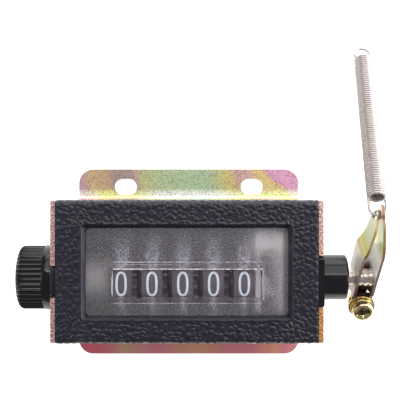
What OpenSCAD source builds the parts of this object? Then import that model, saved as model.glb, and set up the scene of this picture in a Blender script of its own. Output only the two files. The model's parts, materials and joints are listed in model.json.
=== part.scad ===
/* [Mounting frame] */
// Width over the outer faces of the two side plates
frame_w = 67; // [66:0.5:70]
// Height of the side plates and of the case
case_h = 34.8; // [34.4:0.2:38]
// Mounting plane to the front edges of the side plates
frame_depth = 36; // [36:0.5:38]
// Thickness of the frame's sheet steel
sheet_t = 1.2; // [1:0.1:1.4]
// How far the back panel stands off the mounting plane
panel_standoff = 5; // [4.4:0.2:5.6]
// Width of the two slotted mounting tabs
tab_w = 62.8; // [60:0.4:63.2]
// Height over the ends of both mounting tabs
tab_span = 52.8; // [51:0.4:56]
// Corner radius of a mounting tab
tab_corner = 4; // [2:0.5:5]
// Length of a mounting slot
slot_length = 6.4; // [5.6:0.2:7]
// Width of a mounting slot
slot_width = 4.6; // [4.2:0.1:4.8]
// Slot centres apart, across the frame
slot_pitch_x = 36.2; // [34:0.2:40]
// Slot centres apart, from tab to tab
slot_pitch_y = 42.8; // [42.4:0.2:44]

/* [Front cover] */
// How far the cover stands in front of the side plates
cover_proud = 1; // [0.8:0.1:1.4]
// Wall thickness of the cover
cover_wall = 1.8; // [1.6:0.1:2]
// Radius of the cover's long front edges
cover_edge = 1.4; // [0.8:0.1:1.6]
// Width of the window at the cover's face
window_w = 51.5; // [50:0.5:53]
// Height of the window at the cover's face
window_h = 23.3; // [22:0.1:24]
// Width of the bevel round the window
window_bevel = 0.85; // [0.4:0.05:1]

/* [Number wheels] */
// Height of the shaft line above the middle of the case
shaft_y = -2.45; // [-3:0.05:-2]
// Height of the shaft line above the mounting plane
shaft_z = 23; // [22.8:0.1:23]
// Radius of a number wheel
wheel_r = 10.8; // [10.4:0.1:10.8]
// Width of a number wheel's rim
wheel_rim_w = 5.1; // [4.9:0.05:5.2]
// Number wheel centres apart
wheel_pitch = 7.6; // [7.5:0.05:7.7]
// Middle wheel's centre, from the middle of the case
wheel_mid_x = -1.06; // [-1.5:0.02:-0.8]

/* [Reset knob] */
// Diameter over the flutes
knob_d = 16.4; // [14:0.2:18]
// Diameter of the smooth skirt
skirt_d = 16.9; // [15:0.1:19]
// Number of flutes
flute_count = 40; // [24:2:44]
// Length of the whole knob
knob_length = 9.3; // [8:0.1:11]

/* [Lever] */
// Lean of the lever towards the front, at rest
lever_lean = 33; // [20:1:40]
// Thickness of the lever's sheet
lever_t = 0.7; // [0.6:0.1:0.9]
// Outer face of the lever's left flange
lever_left_x = 43.2; // [43:0.1:43.6]
// Outer face of the lever's right flange
lever_right_x = 48.6; // [48.2:0.1:49]
// Shaft line to the spring hole
spring_hole_u = 19.3; // [18:0.1:21]
// Diameter of the drive shaft
drive_shaft_d = 4.6; // [4.2:0.1:4.8]

/* [Actuating spring] */
// Outer diameter of the coils
spring_d = 5; // [4.6:0.1:5.4]
// Wire diameter
wire_d = 0.7; // [0.6:0.05:0.8]
// Length of the close-wound body
coil_length = 49.5; // [44:0.5:56]
// Sideways lean of the spring
spring_slant = 2.2; // [0:0.1:3]

/* [Hidden] */

$fn = 64;
eps = 0.01;
through = 1;               // how far a cutter runs past the face it cuts

// Frame and cover
inner_x = frame_w / 2 - sheet_t;
panel_front = panel_standoff + sheet_t;
bend_in = 1.5;             // inner radius of the tab's bend
panel_bend = 0.6;          // inner radius of the panel's bends
relief_gap = 0.6;          // slit that frees the tab's bend from the side plate
cover_gap = 0.1;
cover_x = inner_x - cover_gap;
cover_back = panel_front + 0.3;
block_back = panel_front + panel_bend;
cover_front = frame_depth + cover_proud;
face_t = 2;                // thickness of the cover's front wall
face_back = cover_front - face_t;
lip_t = 1.4;               // stiffening lip inside each open side of the cover
lip_depth = 3.4;
post_x = 24;
post_y = 13.4;
post_r = 2.5;
post_front = face_back - 2.2;
screw_r = 1.25;
screw_length = 9;
screw_head_r = 2.2;
screw_head_h = 1.9;

// Window lens
pane_gap = 0.1;
pane_w = window_w - 2 * window_bevel;
pane_h = window_h - 2 * window_bevel;
pane_rise = 0.7;           // how far the pane fills the window's depth
flange_t = 0.9;
flange_lap = 1.2;
lens_x = [-18.6, 19];
lens_y = [-7.8, 2.4];
lens_rise = 0.8;
lens_bevel = 0.5;
lens_slope = 1.8;          // height of the sloped strip along the raised lens's top edge

// Shafts and bearings
reset_r = 1.75;
run_gap = 0.06;            // radial clearance of a running fit
pilot_r = 1.2;
pilot_x = [20.9, 23];
drive_r = drive_shaft_d / 2;
left_notch_r = 4;
right_notch_half = 6.35;
notch_corner = 1;
block_gap = 0.05;
block_y = 12;
block_front = face_back - lip_depth - 0.2;
left_plate_t = 2.2;
right_plate_t = 3.2;
left_hub_face = -27.5;
right_hub_face = 24.2;
right_hub_r = 3.5;
boss_r = 5.9;
boss_end = 41.1;

// Number wheels and transfer pinions
wheel_half = wheel_rim_w / 2;
wheel_gap = wheel_pitch - wheel_rim_w;
gear_teeth = 20;
pinion_teeth = 8;
gear_module = 0.875;
gear_t = 1.2;
carry_t = 1;
carry_r = 7;
carry_tooth_r = 7.6;
pocket_r = [2.9, 6];
pocket_floor = 0.6;
ratchet_teeth = 10;
ratchet_tip = 5.6;
ratchet_root = 4.5;
ratchet_hub_r = 3.2;
ratchet_x = [18.5, 20.5];
gear_pitch_r = gear_module * gear_teeth / 2;
pinion_pitch_r = gear_module * pinion_teeth / 2;
pinion_distance = gear_pitch_r + pinion_pitch_r;
pinion_angle = -35;
pinion_y = shaft_y + pinion_distance * cos(pinion_angle);
pinion_z = shaft_z + pinion_distance * sin(pinion_angle);
pinion_shaft_r = 0.9;
pinion_side_gap = 0.12;

// Drive mechanism, at the right of the units wheel
pawl_x = [18.7, 20.3];
crank_x = [20.9, 22.1];
bracket_left = [16.95, 18.25];
bracket_right = [22.5, 23.9];
bracket_y = [-10.5, 10];
bracket_front = 32.8;
bridge_low = 5.2;          // lower edge of the bridge plate across the front
bracket_foot = panel_front + 0.05;
bracket_leg_hole_r = 5.2;  // lets the return spring's leg through to the crank
rivet_y = 6;
rivet_r = 1;
rivet_head_r = 1.9;
rivet_head_h = 0.8;
pawl_pin_r = 0.8;
pawl_boss_r = 1.4;
pawl_nose_r = 5.75;
drive_pin_radius = 7.6;
drive_pin_angle = 120;
backstop_radius = 9.8;
backstop_angle = 240;
lever_stroke = 45;
stop_radius = 8.2;
stop_r = 1;
stop_lead = 19;            // angle from the crank's middle line to a stop post it rests on
return_coil_r = 4.4;       // mean radius of the lever's return spring
return_wire = 0.7;

// Lever, in its own frame: u runs up the lever from the shaft line, v points to its front
ear_u = -8.7;
ear_front_v = 1.1;
ear_back_v = ear_front_v - 2 * lever_t;
ear_r = 3.3;
lever_mid_x = (lever_left_x + lever_right_x) / 2;
fold_back = [10.9, -2];    // the two ends of the fold across the left flange
fold_front = [11.1, 7.7];
fold_angle = 21.5;
right_eye_r = 2.65;        // sheet left round the spring hole
left_eye_r = 2.2;
clamp_screw_r = 1.5;
clamp_gap = 0.02;

// Actuating spring
wire_r = wire_d / 2;
spring_mean_r = spring_d / 2 - wire_r;
loop_x = (lever_left_x + lever_right_x) / 2 + 1.5;
hole_y = shaft_y + spring_hole_u * cos(lever_lean);
hole_z = shaft_z + spring_hole_u * sin(lever_lean);
hook_neck = 2;             // straight wire between the coils and a hook's half turn
coil_start = spring_mean_r + hook_neck;
coil_end = coil_start + coil_length;
spring_reach = coil_end + hook_neck + spring_mean_r;
spring_drop = asin((hole_z - wire_r) / (spring_reach * cos(spring_slant)));

function wheel_x(place) = wheel_mid_x + (2 - place) * wheel_pitch;
function bezier(a, b, c, steps = 8) = [for (i = [0:steps])
    let (t = i / steps) (1 - t) * (1 - t) * a + 2 * t * (1 - t) * b + t * t * c];

// Extrudes a (y, z) outline from x0 to x1
module along_x(x0, x1) {
    translate([x0, 0, 0]) rotate([90, 0, 90]) linear_extrude(x1 - x0) children();
}

// Extrudes an (x, z) outline from y0 to y1
module along_y(y0, y1) {
    translate([0, y1, 0]) rotate([90, 0, 0]) linear_extrude(y1 - y0) children();
}

// A round bar on a line parallel to X, the shaft line if no other is named
module bar(r, x0, x1, y = shaft_y, z = shaft_z) {
    translate([x0, y, z]) rotate([0, 90, 0]) cylinder(r = r, h = x1 - x0);
}

module at_shaft() { translate([shaft_y, shaft_z]) children(); }

module round_rect(low, high, r) {
    size = high - low;
    translate(low + [r, 0]) square([size[0] - 2 * r, size[1]]);
    translate(low + [0, r]) square([size[0], size[1] - 2 * r]);
    for (x = [low[0] + r, high[0] - r], y = [low[1] + r, high[1] - r]) translate([x, y]) circle(r);
}

module slot_outline(length, width) {
    square([length - width, width], center = true);
    for (s = [-1, 1]) translate([s * (length - width) / 2, 0]) circle(width / 2);
}

// A quarter of a bent sheet: the ring quadrant that lies towards (sx, sy) of its centre
module bend_quarter(r_in, t, sx, sy) {
    intersection() {
        difference() { circle(r_in + t); circle(r_in); }
        translate([sx > 0 ? 0 : -r_in - t, sy > 0 ? 0 : -r_in - t]) square(r_in + t);
    }
}

module tab_section() {
    shelf = case_h / 2;
    bend_y = shelf + bend_in;
    bend_z = sheet_t + bend_in;
    fold_y = shelf - sheet_t - panel_bend;
    fold_z = panel_standoff - panel_bend;
    translate([bend_y, bend_z]) bend_quarter(bend_in, sheet_t, -1, -1);
    translate([shelf - sheet_t, bend_z]) square([sheet_t, fold_z - bend_z]);
    translate([fold_y, fold_z]) bend_quarter(panel_bend, sheet_t, 1, 1);
}

module tab() {
    start = case_h / 2 + bend_in;
    along_x(-tab_w / 2, tab_w / 2) tab_section();
    linear_extrude(sheet_t) {
        translate([-tab_w / 2, start]) square([tab_w, tab_span / 2 - tab_corner - start]);
        translate([-tab_w / 2 + tab_corner, start])
            square([tab_w - 2 * tab_corner, tab_span / 2 - start]);
        for (s = [-1, 1]) translate([s * (tab_w / 2 - tab_corner), tab_span / 2 - tab_corner])
            circle(tab_corner);
    }
}

module side_channel() {
    outer_r = panel_bend + sheet_t;
    difference() {
        along_y(-case_h / 2, case_h / 2) difference() {
            union() {
                translate([-frame_w / 2 + outer_r, panel_standoff])
                    square([frame_w - 2 * outer_r, frame_depth - panel_standoff]);
                translate([-frame_w / 2, panel_standoff + outer_r])
                    square([frame_w, frame_depth - panel_standoff - outer_r]);
                for (s = [-1, 1]) translate([s * (frame_w / 2 - outer_r), panel_standoff + outer_r])
                    circle(outer_r);
            }
            round_rect([-inner_x, panel_front], [inner_x, frame_depth + 10], panel_bend);
        }
        for (s = [-1, 1]) {
            edge = case_h / 2 - sheet_t - panel_bend;
            half = tab_w / 2 + relief_gap;
            translate([-half, s > 0 ? edge : -case_h / 2 - through, panel_standoff - through])
                cube([2 * half, case_h / 2 - edge + through, sheet_t + 2 * through]);
        }
    }
}

module mounting_frame() {
    color("khaki") difference() {
        union() {
            side_channel();
            tab();
            mirror([0, 1, 0]) tab();
        }
        along_x(-frame_w / 2 - through, -inner_x + through) at_shaft() {
            circle(left_notch_r);
            translate([-left_notch_r, 0]) square([2 * left_notch_r, frame_depth]);
        }
        along_x(inner_x - through, frame_w / 2 + through) at_shaft()
            round_rect([-right_notch_half, -right_notch_half],
                       [right_notch_half, frame_depth], notch_corner);
        for (x = [-1, 1], y = [-1, 1]) {
            translate([x * slot_pitch_x / 2, y * slot_pitch_y / 2, -through])
                linear_extrude(sheet_t + 2 * through) slot_outline(slot_length, slot_width);
            translate([x * post_x, y * post_y, panel_standoff - through])
                cylinder(r = screw_r + 0.35, h = sheet_t + 2 * through);
        }
        rivet_holes(panel_standoff - through, panel_front + through);
    }
}

// A (y, z) outline with two round front corners, from the back plane to the front plane
module cover_section(half, back, front, r) {
    translate([-half, back]) square([2 * half, front - back - r]);
    translate([-half + r, back]) square([2 * (half - r), front - back]);
    for (s = [-1, 1]) translate([s * (half - r), front - r]) circle(r);
}

module window_slab(w, h, z, t) {
    translate([0, 0, z]) linear_extrude(t) round_rect([-w / 2, -h / 2], [w / 2, h / 2], 1, $fn = 32);
}

module front_cover() {
    color([0.16, 0.16, 0.18]) difference() {
        union() {
            difference() {
                along_x(-cover_x, cover_x)
                    cover_section(case_h / 2, cover_back, cover_front, cover_edge);
                along_x(-cover_x - through, cover_x + through)
                    cover_section(case_h / 2 - cover_wall, cover_back - through, face_back, 0.4);
            }
            for (s = [-1, 1]) {
                lip_half = case_h / 2 - cover_wall + eps;
                translate([s > 0 ? cover_x - lip_t : -cover_x, -lip_half, face_back - lip_depth])
                    cube([lip_t, 2 * lip_half, lip_depth + eps]);
            }
            for (x = [-1, 1], y = [-1, 1]) translate([x * post_x, y * post_y, cover_back])
                cylinder(r = post_r, h = post_front - cover_back);
        }
        hull() {
            window_slab(pane_w, pane_h, face_back - 0.5, 0.5 + pane_rise);
            window_slab(window_w, window_h, cover_front, 0.2);
        }
        for (x = [-1, 1], y = [-1, 1]) translate([x * post_x, y * post_y, cover_back - through])
            cylinder(r = screw_r, h = screw_length + through);
    }
}

module window_lens() {
    color("lightsteelblue", 0.5) {
        flange = flange_lap - pane_gap;
        window_slab(pane_w + 2 * flange, pane_h + 2 * flange, face_back - flange_t, flange_t);
        window_slab(pane_w - 2 * pane_gap, pane_h - 2 * pane_gap, face_back - eps, pane_rise + eps);
        hull() {
            translate([0, 0, face_back + pane_rise - eps]) linear_extrude(eps)
                polygon([for (c = [[0, 0], [1, 0], [1, 1], [0, 1]]) [lens_x[c[0]], lens_y[c[1]]]]);
            translate([lens_x[0] + lens_bevel, lens_y[0] + lens_bevel, face_back + pane_rise])
                cube([lens_x[1] - lens_x[0] - 2 * lens_bevel,
                      lens_y[1] - lens_y[0] - lens_bevel - lens_slope, lens_rise]);
        }
    }
}

module cover_screws() {
    color("silver") for (x = [-1, 1], y = [-1, 1]) translate([x * post_x, y * post_y, panel_standoff])
        difference() {
            union() {
                translate([0, 0, -screw_head_h]) cylinder(r = screw_head_r, h = screw_head_h);
                cylinder(r = screw_r, h = screw_length);
            }
            for (a = [0, 90]) rotate([0, 0, a]) translate([-1.6, -0.35, -screw_head_h - eps])
                cube([3.2, 0.7, 1.1]);
        }
}

// A bearing block's plate, which stands against a side plate
module block_plate(x0, x1) {
    along_x(x0, x1) round_rect([-block_y, block_back], [block_y, block_front], 2);
}

module left_bearing_block() {
    outer = -inner_x + block_gap;
    color([0.13, 0.13, 0.14]) difference() {
        union() {
            block_plate(outer, outer + left_plate_t);
            bar(4.6, outer, left_hub_face);
            bar(left_notch_r - block_gap, -frame_w / 2 - 0.4, outer + eps);
        }
        bar(reset_r + run_gap, -frame_w / 2 - through, left_hub_face + through);
        bar(pinion_shaft_r, outer + 0.8, outer + left_plate_t + through, pinion_y, pinion_z);
    }
}

module right_bearing_block() {
    outer = inner_x - block_gap;
    half = right_notch_half - block_gap;
    color([0.13, 0.13, 0.14]) difference() {
        union() {
            block_plate(outer - right_plate_t, outer);
            bar(right_hub_r, right_hub_face, outer);
            along_x(outer - eps, frame_w / 2 + 0.3) at_shaft()
                round_rect([-half, -half], [half, frame_depth - shaft_z - 0.4], notch_corner);
            translate([frame_w / 2, shaft_y, shaft_z]) rotate([0, 90, 0]) rotate_extrude() {
                square([boss_r, boss_end - frame_w / 2 - 0.6]);
                square([boss_r - 0.6, boss_end - frame_w / 2]);
                translate([boss_r - 0.6, boss_end - frame_w / 2 - 0.6]) circle(0.6);
            }
        }
        bar(drive_r + run_gap, right_hub_face - through, boss_end + through);
        bar(pinion_shaft_r, outer - right_plate_t - through, outer - 0.8, pinion_y, pinion_z);
    }
}

module rivet_holes(z0, z1) {
    for (s = [-1, 1]) translate([(bracket_left[0] + bracket_right[1]) / 2, s * rivet_y, z0])
        cylinder(r = rivet_r, h = z1 - z0);
}

// The two walls that carry the pawls, with the crank's stop posts on the right one
module ratchet_bracket() {
    low = [bracket_y[0], bracket_foot];
    high = [bracket_y[1], bracket_front];
    color([0.8, 0.78, 0.76]) difference() {
        union() {
            for (wall = [bracket_left, bracket_right])
                along_x(wall[0], wall[1]) round_rect(low, high, 1);
            along_x(bracket_left[0], bracket_right[1]) {
                translate([low[0] + 1, low[1]]) square([high[0] - low[0] - 2, 1.2]);
                translate([high[0] - 1.2, 19]) square([1.2, high[1] - 20]);
                translate([bridge_low, high[1] - 2.2]) square([high[0] - bridge_low, 1.2]);
            }
            for (a = [drive_pin_angle + stop_lead, drive_pin_angle - lever_stroke - stop_lead])
                bar(stop_r, crank_x[0], bracket_right[0] + eps,
                    shaft_y + stop_radius * cos(a), shaft_z + stop_radius * sin(a));
        }
        bar(ratchet_hub_r + 0.3, bracket_left[0] - through, bracket_left[1] + through);
        bar(bracket_leg_hole_r, bracket_right[0] - through, bracket_right[1] + through);
        bar(pinion_shaft_r, bracket_left[0] - through, bracket_right[1] + through,
            pinion_y, pinion_z);
        bar(pawl_pin_r, bracket_left[0] - through, bracket_right[1] + through,
            backstop_y(), backstop_z());
        rivet_holes(bracket_foot - through, bracket_foot + 1.2 + through);
    }
}

module bracket_rivets() {
    x = (bracket_left[0] + bracket_right[1]) / 2;
    top = bracket_foot + 1.2;
    color("silver") for (s = [-1, 1]) translate([x, s * rivet_y, 0]) {
        translate([0, 0, panel_standoff - rivet_head_h])
            cylinder(r = rivet_head_r, h = rivet_head_h);
        translate([0, 0, panel_standoff - eps])
            cylinder(r = rivet_r, h = top - panel_standoff + 2 * eps);
        translate([0, 0, top]) cylinder(r = rivet_head_r, h = rivet_head_h);
    }
}

function backstop_y() = shaft_y + backstop_radius * cos(backstop_angle);
function backstop_z() = shaft_z + backstop_radius * sin(backstop_angle);

module reset_shaft() {
    clip_x = left_hub_face + 0.2;
    color("silver") difference() {
        union() {
            bar(reset_r, -frame_w / 2 - knob_length + 1.2, pilot_x[0] - 0.2);
            bar(pilot_r, pilot_x[0] - 0.3, pilot_x[1]);
        }
        difference() {
            bar(reset_r + through, clip_x, clip_x + 0.6);
            bar(reset_r - 0.4, clip_x - 0.1, clip_x + 0.7);
        }
        translate([-20, shaft_y - 0.35, shaft_z + reset_r - 0.55]) cube([38, 0.7, 1]);
    }
}

module knob_flutes() {
    difference() {
        circle(knob_d / 2);
        for (i = [0:flute_count - 1]) rotate(i * 360 / flute_count)
            translate([knob_d / 2 + 0.12, 0]) circle(0.45, $fn = 24);
    }
}

module reset_knob() {
    outer = -frame_w / 2 - 0.6;            // the end next to the side plate
    skirt_w = 2.7;
    edge = 1;
    color([0.12, 0.12, 0.13]) translate([outer, shaft_y, shaft_z]) rotate([0, -90, 0]) difference() {
        union() {
            rotate_extrude() {
                square([skirt_d / 2 - 0.3, skirt_w]);
                translate([0, 0.3]) square([skirt_d / 2, skirt_w - 0.6]);
                for (h = [0.3, skirt_w - 0.3]) translate([skirt_d / 2 - 0.3, h]) circle(0.3);
            }
            intersection() {
                linear_extrude(knob_length) knob_flutes();
                rotate_extrude() {
                    square([knob_d / 2 + 1, knob_length - edge]);
                    square([knob_d / 2 - edge, knob_length]);
                    translate([knob_d / 2 - edge, knob_length - edge]) circle(edge);
                }
            }
        }
        translate([0, 0, -through]) cylinder(r = reset_r, h = knob_length - 1.8 + through);
    }
}

module shaft_clip() {
    x = left_hub_face + 0.25;
    color("silver") difference() {
        bar(3.3, x, x + 0.5);
        bar(reset_r - 0.4, x - 1, x + 1);
        translate([x - 1, shaft_y - 1.1, shaft_z - 5]) cube([3, 2.2, 5]);
    }
}

module wheel_spacer() {
    color("ivory") difference() {
        bar(5.4, left_hub_face + 1, wheel_x(4) - wheel_half - 0.15);
        bar(reset_r + run_gap, left_hub_face, wheel_x(4));
    }
}

// Spur gear outline with straight-flanked teeth; the first tooth points along +Y of the outline
module gear_outline(teeth, r_root, r_pitch, r_tip, root_w, pitch_w, tip_w) {
    circle(r_root);
    for (i = [0:teeth - 1]) rotate(i * 360 / teeth)
        polygon([[-root_w / 2, r_root - 0.3], [root_w / 2, r_root - 0.3], [root_w / 2, r_root],
                 [pitch_w / 2, r_pitch], [tip_w / 2, r_tip], [-tip_w / 2, r_tip],
                 [-pitch_w / 2, r_pitch], [-root_w / 2, r_root]]);
}

// The wheel's gear has a tooth gap towards the pinion
module wheel_gear_outline() {
    rotate(pinion_angle - 90 + 180 / gear_teeth)
        gear_outline(gear_teeth, 7.65, gear_pitch_r, 9.5, 1.6, 1.1, 0.6);
}

module pinion_outline(teeth) {
    rotate(pinion_angle + 90)
        gear_outline(teeth, 2.3, pinion_pitch_r, 4.2, 1, 1, 0.5);
}

module ratchet_outline() {
    step = 360 / ratchet_teeth;
    polygon([for (i = [0:ratchet_teeth - 1], p = [0, 1])
        let (a = i * step + (p == 0 ? 0 : 3), r = p == 0 ? ratchet_tip : ratchet_root)
        r * [cos(a), sin(a)]]);
}

// One number wheel: place 0 is the units wheel, place 4 the ten thousands
module number_wheel(place) {
    c = wheel_x(place);
    left = c - wheel_half - (place < 4 ? carry_t : 0);
    color([0.25, 0.24, 0.25]) difference() {
        union() {
            bar(wheel_r, c - wheel_half, c + wheel_half);
            if (place < 4) along_x(left, c) at_shaft() {
                circle(carry_r);
                for (a = [-9, 9]) rotate(90 + a) translate([0, -0.45])
                    square([carry_tooth_r, 0.9]);
            }
            if (place > 0) along_x(c, c + wheel_half + gear_t) at_shaft() wheel_gear_outline();
            if (place == 0) {
                bar(ratchet_hub_r, c, ratchet_x[0] + eps);
                along_x(ratchet_x[0], ratchet_x[1]) at_shaft() ratchet_outline();
            }
        }
        bar(reset_r + run_gap, left - through, c + wheel_pitch);
        difference() {
            bar(pocket_r[1], left - through, c - pocket_floor);
            bar(pocket_r[0], left - 2 * through, c);
        }
        translate([left - through, shaft_y - 0.9, shaft_z])
            cube([c - pocket_floor - left + through, 1.8, 4]);
    }
}

// The leaf that catches the shaft's groove when the wheels are set back to zero
module reset_pawl(place) {
    c = wheel_x(place);
    nose_tip = reset_r + 0.08;
    color("goldenrod") along_x(c - 2.4, c - 1) at_shaft() {
        intersection() {
            difference() { circle(5.3); circle(4.7); }
            translate([0, -5]) square([6, 10.1]);
        }
        translate([-0.6, 4.65]) square([0.65, 0.6]);
        translate([-0.6, nose_tip]) square([1.2, 5 - nose_tip]);
        rotate(-90) translate([4.6, -0.1]) square([1.3, 1]);
    }
}

// Eight teeth face the higher wheel's gear; every second one is cut away on the carry side
module pinion(place) {
    x0 = wheel_x(place) + wheel_half + pinion_side_gap;
    x1 = wheel_x(place) + wheel_pitch - wheel_half - pinion_side_gap;
    step_x = x0 + gear_t;
    color("white") difference() {
        union() {
            along_x(x0, step_x) translate([pinion_y, pinion_z]) pinion_outline(pinion_teeth);
            along_x(step_x - eps, x1) translate([pinion_y, pinion_z])
                pinion_outline(pinion_teeth / 2);
        }
        bar(pinion_shaft_r + run_gap, x0 - through, x1 + through, pinion_y, pinion_z);
    }
}

module pinion_shaft() {
    end = inner_x - block_gap - 0.8;
    color("silver") bar(pinion_shaft_r, -end, end, pinion_y, pinion_z);
}

module drive_shaft() {
    color("silver") difference() {
        bar(drive_r, crank_x[0], lever_right_x);
        bar(pilot_r + run_gap, crank_x[0] - through, pilot_x[1] + 0.4);
        for (x = [45, 46.6]) difference() {
            bar(drive_r + through, x, x + 0.4);
            bar(drive_r - 0.25, x - 0.1, x + 0.5);
        }
    }
}

module drive_crank() {
    a = drive_pin_angle;
    color("silver") difference() {
        along_x(crank_x[0], crank_x[1]) at_shaft() rotate(a) {
            circle(4.4);
            translate([0, -1.6]) square([drive_pin_radius, 3.2]);
            translate([drive_pin_radius, 0]) circle(1.6);
        }
        bar(drive_r, crank_x[0] - through, crank_x[1] + through);
        bar(pawl_pin_r, crank_x[0] - through, crank_x[1] + through,
            shaft_y + drive_pin_radius * cos(a), shaft_z + drive_pin_radius * sin(a));
    }
}

module pawl_pin() {
    a = drive_pin_angle;
    color("silver") bar(pawl_pin_r, pawl_x[0] - 0.05, crank_x[1],
        shaft_y + drive_pin_radius * cos(a), shaft_z + drive_pin_radius * sin(a));
}

// A pawl on a pin at a radius and an angle; its nose stops just short of the ratchet's tips
module pawl(pin_radius, pin_angle) {
    nose = 31;
    color("silver") along_x(pawl_x[0], pawl_x[1]) at_shaft() rotate(pin_angle) difference() {
        union() {
            translate([pin_radius, 0]) circle(pawl_boss_r);
            polygon([[pin_radius - pawl_boss_r * 0.85, -0.6],
                     pawl_nose_r * [cos(nose), -sin(nose)],
                     (pawl_nose_r + 0.9) * [cos(nose + 3), -sin(nose + 3)],
                     [pin_radius + pawl_boss_r * 0.6, -0.8]]);
        }
        translate([pin_radius, 0]) circle(pawl_pin_r + run_gap);
    }
}

module drive_pawl() { pawl(drive_pin_radius, drive_pin_angle); }

module backstop_pawl() { pawl(backstop_radius, backstop_angle); }

module pawl_spring(y, z, x1) {
    color("gainsboro") difference() {
        union() {
            bar(1.6, pawl_x[1] + 0.1, x1, y, z);
            translate([pawl_x[1] + 0.1, y + 1, z + 1.2]) cube([0.4, 2.2, 0.4]);
        }
        bar(pawl_pin_r + 0.15, pawl_x[1] - through, x1 + through, y, z);
    }
}

module drive_pawl_spring() {
    a = drive_pin_angle;
    pawl_spring(shaft_y + drive_pin_radius * cos(a), shaft_z + drive_pin_radius * sin(a),
                crank_x[0] - 0.1);
}

module backstop_spring() {
    pawl_spring(backstop_y(), backstop_z(), bracket_right[0] - 0.6);
}

module backstop_pin() {
    color("silver") bar(pawl_pin_r, bracket_left[0], bracket_right[1],
                        backstop_y(), backstop_z());
}

// A torsion spring drawn as the tube its close coils fill, with a leg at each end
module lever_return_spring() {
    x0 = right_hub_face + 0.2;
    x1 = inner_x - block_gap - right_plate_t - 1.2;
    color("gainsboro") {
        difference() {
            bar(return_coil_r + return_wire / 2, x0, x1);
            bar(return_coil_r - return_wire / 2, x0 - through, x1 + through);
        }
        bar(return_wire / 2, crank_x[1] + 0.05, x0 + 0.5, shaft_y, shaft_z - return_coil_r);
        bar(return_wire / 2, x1 - 0.5, x1 + 1, shaft_y - return_coil_r, shaft_z);
    }
}

// Turns the lever's own frame (x, u, v) to its place at rest
module lever_frame() {
    translate([0, shaft_y, shaft_z]) rotate([lever_lean, 0, 0]) children();
}

lever_front_edge = concat([[-9, ear_front_v], [-5.1, ear_front_v], [-4.6, 2.2], [-2, 2.9],
                           [4.7, 5.1]],
                          bezier([11, 7.2], [13.4, 8], [15.4, 6.4]),
                          bezier([17.4, 5.2], [19.2, 4.2], [20.4, 1.8], 5));
lever_back_edge = concat(bezier([18.6, -2], [15.4, -0.4], [13.4, -0.9], 4),
                         bezier([11, -1.8], [6, -4.2], [0.6, -5.4]),
                         [[-4.6, -4.7], [-5.3, ear_back_v], [-9, ear_back_v]]);
fold_normal = [fold_back[1] - fold_front[1], fold_front[0] - fold_back[0]]
    / norm(fold_back - fold_front) * -1;

// The side of the diagonal fold on which the shaft lies, as a large half plane
module below_fold(lap) {
    along = (fold_back - fold_front) / norm(fold_back - fold_front);
    edge = fold_back + lap * fold_normal;
    polygon([edge + 30 * along, edge - 30 * along, edge - 30 * along - 40 * fold_normal,
             edge + 30 * along - 40 * fold_normal]);
}

module lever_flange_outline(eye_r) {
    polygon(concat(lever_front_edge, lever_back_edge));
    translate([spring_hole_u, 0]) circle(eye_r);
}

module ear(side, v0) {
    edge_x = side < 0 ? lever_left_x : lever_mid_x;
    width = lever_right_x - lever_mid_x;
    translate([0, 0, v0]) linear_extrude(lever_t) {
        translate([lever_mid_x, ear_u]) circle(ear_r);
        translate([edge_x, ear_u]) square([width, -ear_u - 5.4]);
    }
}

module lever_arm() {
    color("gainsboro") lever_frame() difference() {
        union() {
            along_x(lever_right_x - lever_t, lever_right_x) lever_flange_outline(right_eye_r);
            along_x(lever_left_x, lever_left_x + lever_t) intersection() {
                lever_flange_outline(left_eye_r);
                below_fold(0);
            }
            translate([lever_left_x, fold_back[0], fold_back[1]])
                rotate(a = -fold_angle, v = [0, fold_front[0] - fold_back[0],
                                             fold_front[1] - fold_back[1]])
                translate([0, -fold_back[0], -fold_back[1]]) along_x(0, lever_t) difference() {
                    lever_flange_outline(left_eye_r);
                    below_fold(-0.2);
                }
            along_x(lever_left_x, lever_right_x)
                polygon(concat([[9, -2.7]], bezier([8, -3.1], [5, -4.3], [0.6, -5.4], 5),
                               [[-4.4, -4.7], [-4.4, -3.9], [0.6, -4.55], [8, -2.3]]));
            ear(-1, ear_front_v - lever_t);
            ear(1, ear_back_v);
        }
        translate([lever_left_x - through, 0, 0]) rotate([0, 90, 0])
            cylinder(r = drive_r + clamp_gap, h = lever_right_x - lever_left_x + 2 * through);
        translate([lever_left_x - through, spring_hole_u, 0]) rotate([0, 90, 0])
            cylinder(r = 1.2, h = lever_right_x - lever_left_x + 2 * through);
        translate([lever_mid_x, ear_u, ear_front_v - 4]) cylinder(r = clamp_screw_r + 0.1, h = 8);
    }
}

// Turns a piece that stands on the ears' front face, +Z away from the lever
module on_ears() {
    lever_frame() translate([lever_mid_x, ear_u, ear_front_v]) children();
}

flat_washer_t = 0.5;
spring_washer_t = 0.8;
nut_t = 2.4;

module clamp_screw() {
    head_z = flat_washer_t + spring_washer_t;
    head_r = 2.8;
    head_h = 2;
    color("goldenrod") on_ears() difference() {
        union() {
            translate([0, 0, -2 * lever_t - nut_t - 0.8])
                cylinder(r = clamp_screw_r, h = head_z + 2 * lever_t + nut_t + 0.8);
            translate([0, 0, head_z]) rotate_extrude() {
                square([head_r, head_h - 0.9]);
                square([head_r - 0.9, head_h]);
                translate([head_r - 0.9, head_h - 0.9]) circle(0.9);
            }
        }
        for (a = [20, 110]) rotate([0, 0, a]) hull() {
            translate([-1, -0.25, head_z + head_h - 1.3]) cube([2, 0.5, eps]);
            translate([-1.8, -0.45, head_z + head_h]) cube([3.6, 0.9, eps]);
        }
    }
}

module washer(r_out, r_in, z, t) {
    on_ears() translate([0, 0, z]) difference() {
        cylinder(r = r_out, h = t);
        translate([0, 0, -through]) cylinder(r = r_in, h = t + 2 * through);
        children();
    }
}

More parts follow.
